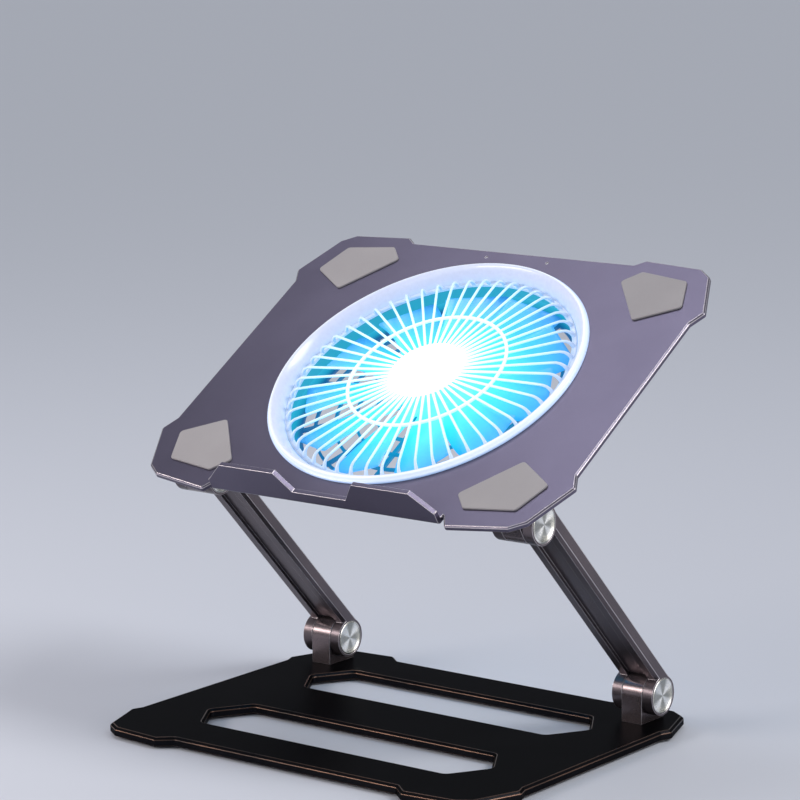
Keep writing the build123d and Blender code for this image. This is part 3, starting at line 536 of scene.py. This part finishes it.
cage.append(turned("grille_hub", ((21.5, 0.1), (21.5, 1.2), (21.1, 1.58), (1.0, 1.58), (1.0, 0.1))))
bpy.ops.object.select_all(action="DESELECT")
for part in cage:
    part.select_set(True)
bpy.context.view_layer.objects.active = cage[0]
bpy.ops.object.join()
grille = bpy.context.object
grille.name = "grille_cage"
bpy.ops.object.shade_smooth_by_angle(angle=math.radians(50))
grille.data.materials.clear()
grille.data.materials.append(grille_white)
on_plate(grille)
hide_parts("fan_grille")
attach(grille, "plate")

# ---- hub cap ----
# A low dome of milky plastic on the middle of the grille, with a painted glow, white in the middle.
hub_milk = plastic("lit_milky_plastic", (0.85, 0.95, 0.98), 0.3, [
    (0.0, (1.0, 1.0, 1.0)), (14.0, (0.86, 1.0, 1.0)), (21.5, (0.45, 0.95, 1.0)),
], 1.3)
hub = turned("hub_dome", (
    (21.3, 1.6), (21.5, 2.0), (21.2, 2.6), (20.4, 3.05), (19.0, 3.3), (15.0, 3.45), (8.0, 3.55), (0.5, 3.58),
), 96, False)
alone(hub)
bpy.ops.object.shade_smooth_by_angle(angle=math.radians(50))
hub.data.materials.append(hub_milk)
on_plate(hub)
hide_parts("hub_cap")
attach(hub, "plate")

# ---- ring of lights ----
# A narrow printed board under the collar with twenty-four small lamps that shine up through it.
LAMP_SHINE = (0.3, 0.8, 1.0)
lamp_resin = plastic("lamp_resin", (0.9, 0.95, 1.0), 0.2, [(0.0, LAMP_SHINE), (90.0, LAMP_SHINE)], 5.0)
board_green = plastic("board_lacquer", (0.03, 0.16, 0.07), 0.35)
nodes["leds"].data.materials.clear()
nodes["leds"].data.materials.append(lamp_resin)
for name in ("led_ring_board", "motor_board", "control_board"):
    nodes[name].data.materials.clear()
    nodes[name].data.materials.append(board_green)

# ---- fan housing and rear guard ----
# A deep ring and a slotted guard of fine-grained black plastic, screwed under the plate. The blue of
# the rotor's light on their inner faces is painted on as a glow, and their back faces stay black.
black_plastic = plastic("grained_black_plastic", (0.030, 0.031, 0.034), 0.5)
for name in ("control_case", "speed_button"):
    nodes[name].data.materials.clear()
    nodes[name].data.materials.append(black_plastic)
lit_black = plastic("blue_lit_black_plastic", (0.030, 0.034, 0.040), 0.5, [
    (0.0, (0.0, 0.42, 0.72)), (50.0, (0.0, 0.30, 0.62)), (80.0, (0.0, 0.12, 0.36)),
    (84.0, (0.01, 0.40, 0.66)), (88.4, (0.03, 0.52, 0.80)), (89.4, (0.0, 0.0, 0.0)),
], 0.8)
lit_tree = lit_black.node_tree
lit_shader = lit_tree.nodes["Principled BSDF"]
lit_ramp = lit_shader.inputs["Emission Color"].links[0].from_node
# Faces turned down against the fan's axis get none of the painted blue light and stay black.
turned_to = lit_tree.nodes.new("ShaderNodeTexCoord")
uphill = lit_tree.nodes.new("ShaderNodeVectorMath")
uphill.operation = "DOT_PRODUCT"
uphill.inputs[1].default_value = axis
link(lit_tree, turned_to, "Normal", uphill, "Vector")
inside_only = lit_tree.nodes.new("ShaderNodeMapRange")
inside_only.inputs["From Min"].default_value = -0.6
inside_only.inputs["From Max"].default_value = -0.2
link(lit_tree, uphill, "Value", inside_only, "Value")
lit_side = lit_tree.nodes.new("ShaderNodeMix")
lit_side.data_type = "RGBA"
lit_side.inputs["A"].default_value = (0, 0, 0, 1)
link(lit_tree, inside_only, "Result", lit_side, "Factor")
link(lit_tree, lit_ramp, "Color", lit_side, "B")
link(lit_tree, lit_side, "Result", lit_shader, "Emission Color")
for name in ("fan_housing", "rear_guard"):
    nodes[name].data.materials.clear()
    nodes[name].data.materials.append(lit_black)

# ---- rotor ----
# A cup with eleven swept blades in pale blue clear plastic. The ring of lights' blue light in them is
# painted on as a glow, cyan by the hub and dark blue at the tips. It turns on the motor's shaft.
BLADES = 11
BLADE_LENGTH = 0.058
BLADE_WIDTH = 0.029
BLADE_THICK = 0.0012
BLADE_MIDDLE = (0.0475, 0, -0.0105)
BLADE_PITCH = 17            # degrees
BLADE_TWIST = -8
BLADE_SWEEP = 38
blade_blue = plastic("lit_blue_plastic", (0.10, 0.38, 0.60), 0.25, [
    (18.0, (0.16, 0.95, 1.0)), (40.0, (0.02, 0.66, 0.96)), (62.0, (0.0, 0.34, 0.80)),
    (80.0, (0.0, 0.10, 0.40)),
], 0.9)
bpy.ops.object.select_all(action="DESELECT")
bpy.ops.mesh.primitive_grid_add(x_subdivisions=14, y_subdivisions=6, size=1)
blade = bpy.context.object
blade.name = "rotor_blade"
blade.scale = (BLADE_LENGTH, BLADE_WIDTH, 1)
settle(blade)
widen = blade.modifiers.new("wider to the tip", "SIMPLE_DEFORM")
widen.deform_method = "TAPER"
widen.deform_axis = "X"
widen.factor = 0.6
bpy.ops.object.modifier_apply(modifier=widen.name)
twist = blade.modifiers.new("pitch along the blade", "SIMPLE_DEFORM")
twist.deform_method = "TWIST"
twist.deform_axis = "X"
twist.angle = math.radians(BLADE_TWIST)
bpy.ops.object.modifier_apply(modifier=twist.name)
sweep = blade.modifiers.new("sweep", "SIMPLE_DEFORM")
sweep.deform_method = "BEND"
sweep.deform_axis = "Z"
sweep.angle = math.radians(BLADE_SWEEP)
bpy.ops.object.modifier_apply(modifier=sweep.name)
wall = blade.modifiers.new("wall", "SOLIDIFY")
wall.thickness = BLADE_THICK
wall.offset = 0
bpy.ops.object.modifier_apply(modifier=wall.name)
round_off = blade.modifiers.new("rounding", "SUBSURF")
round_off.levels = 1
round_off.render_levels = 1
bpy.ops.object.modifier_apply(modifier=round_off.name)
blade.rotation_euler.x = math.radians(BLADE_PITCH)
blade.location = BLADE_MIDDLE
settle(blade)
rotor_parts = [blade]
for number in range(1, BLADES):
    turn_copy = blade.copy()
    turn_copy.data = blade.data.copy()
    turn_copy.rotation_euler.z = 2 * math.pi * number / BLADES
    bpy.context.scene.collection.objects.link(turn_copy)
    rotor_parts.append(turn_copy)
rotor_parts.append(turned("rotor_cup", (
    (19.5, -16.4), (19.5, -6.0), (19.1, -5.0), (18.2, -4.6), (2.0, -4.6), (2.0, -6.1), (17.4, -6.1),
    (18.0, -6.8), (18.0, -16.4),
), 96))
bpy.ops.object.select_all(action="DESELECT")
for part in rotor_parts:
    part.select_set(True)
bpy.context.view_layer.objects.active = rotor_parts[0]
bpy.ops.object.join()
rotor = bpy.context.object
rotor.name = "rotor_blades"
bpy.ops.object.shade_smooth_by_angle(angle=math.radians(50))
rotor.data.materials.clear()
rotor.data.materials.append(blade_blue)
on_plate(rotor)
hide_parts("fan_rotor")
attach(rotor, "rotor")

# ---- motor ----
# A small brushless motor inside the rotor's cup: a pressed iron stack, enamelled copper windings
# and a grey magnet ring.
iron = metal("pressed_iron", (0.16, 0.16, 0.17), (0.12, 0.12, 0.13), 0.45, 0.2)
copper = metal("enamelled_copper", (0.62, 0.26, 0.12), (0.50, 0.20, 0.09), 0.3, 0.2)
for name, finish in (("motor_stator", iron), ("magnet_ring", iron), ("motor_windings", copper)):
    nodes[name].data.materials.clear()
    nodes[name].data.materials.append(finish)
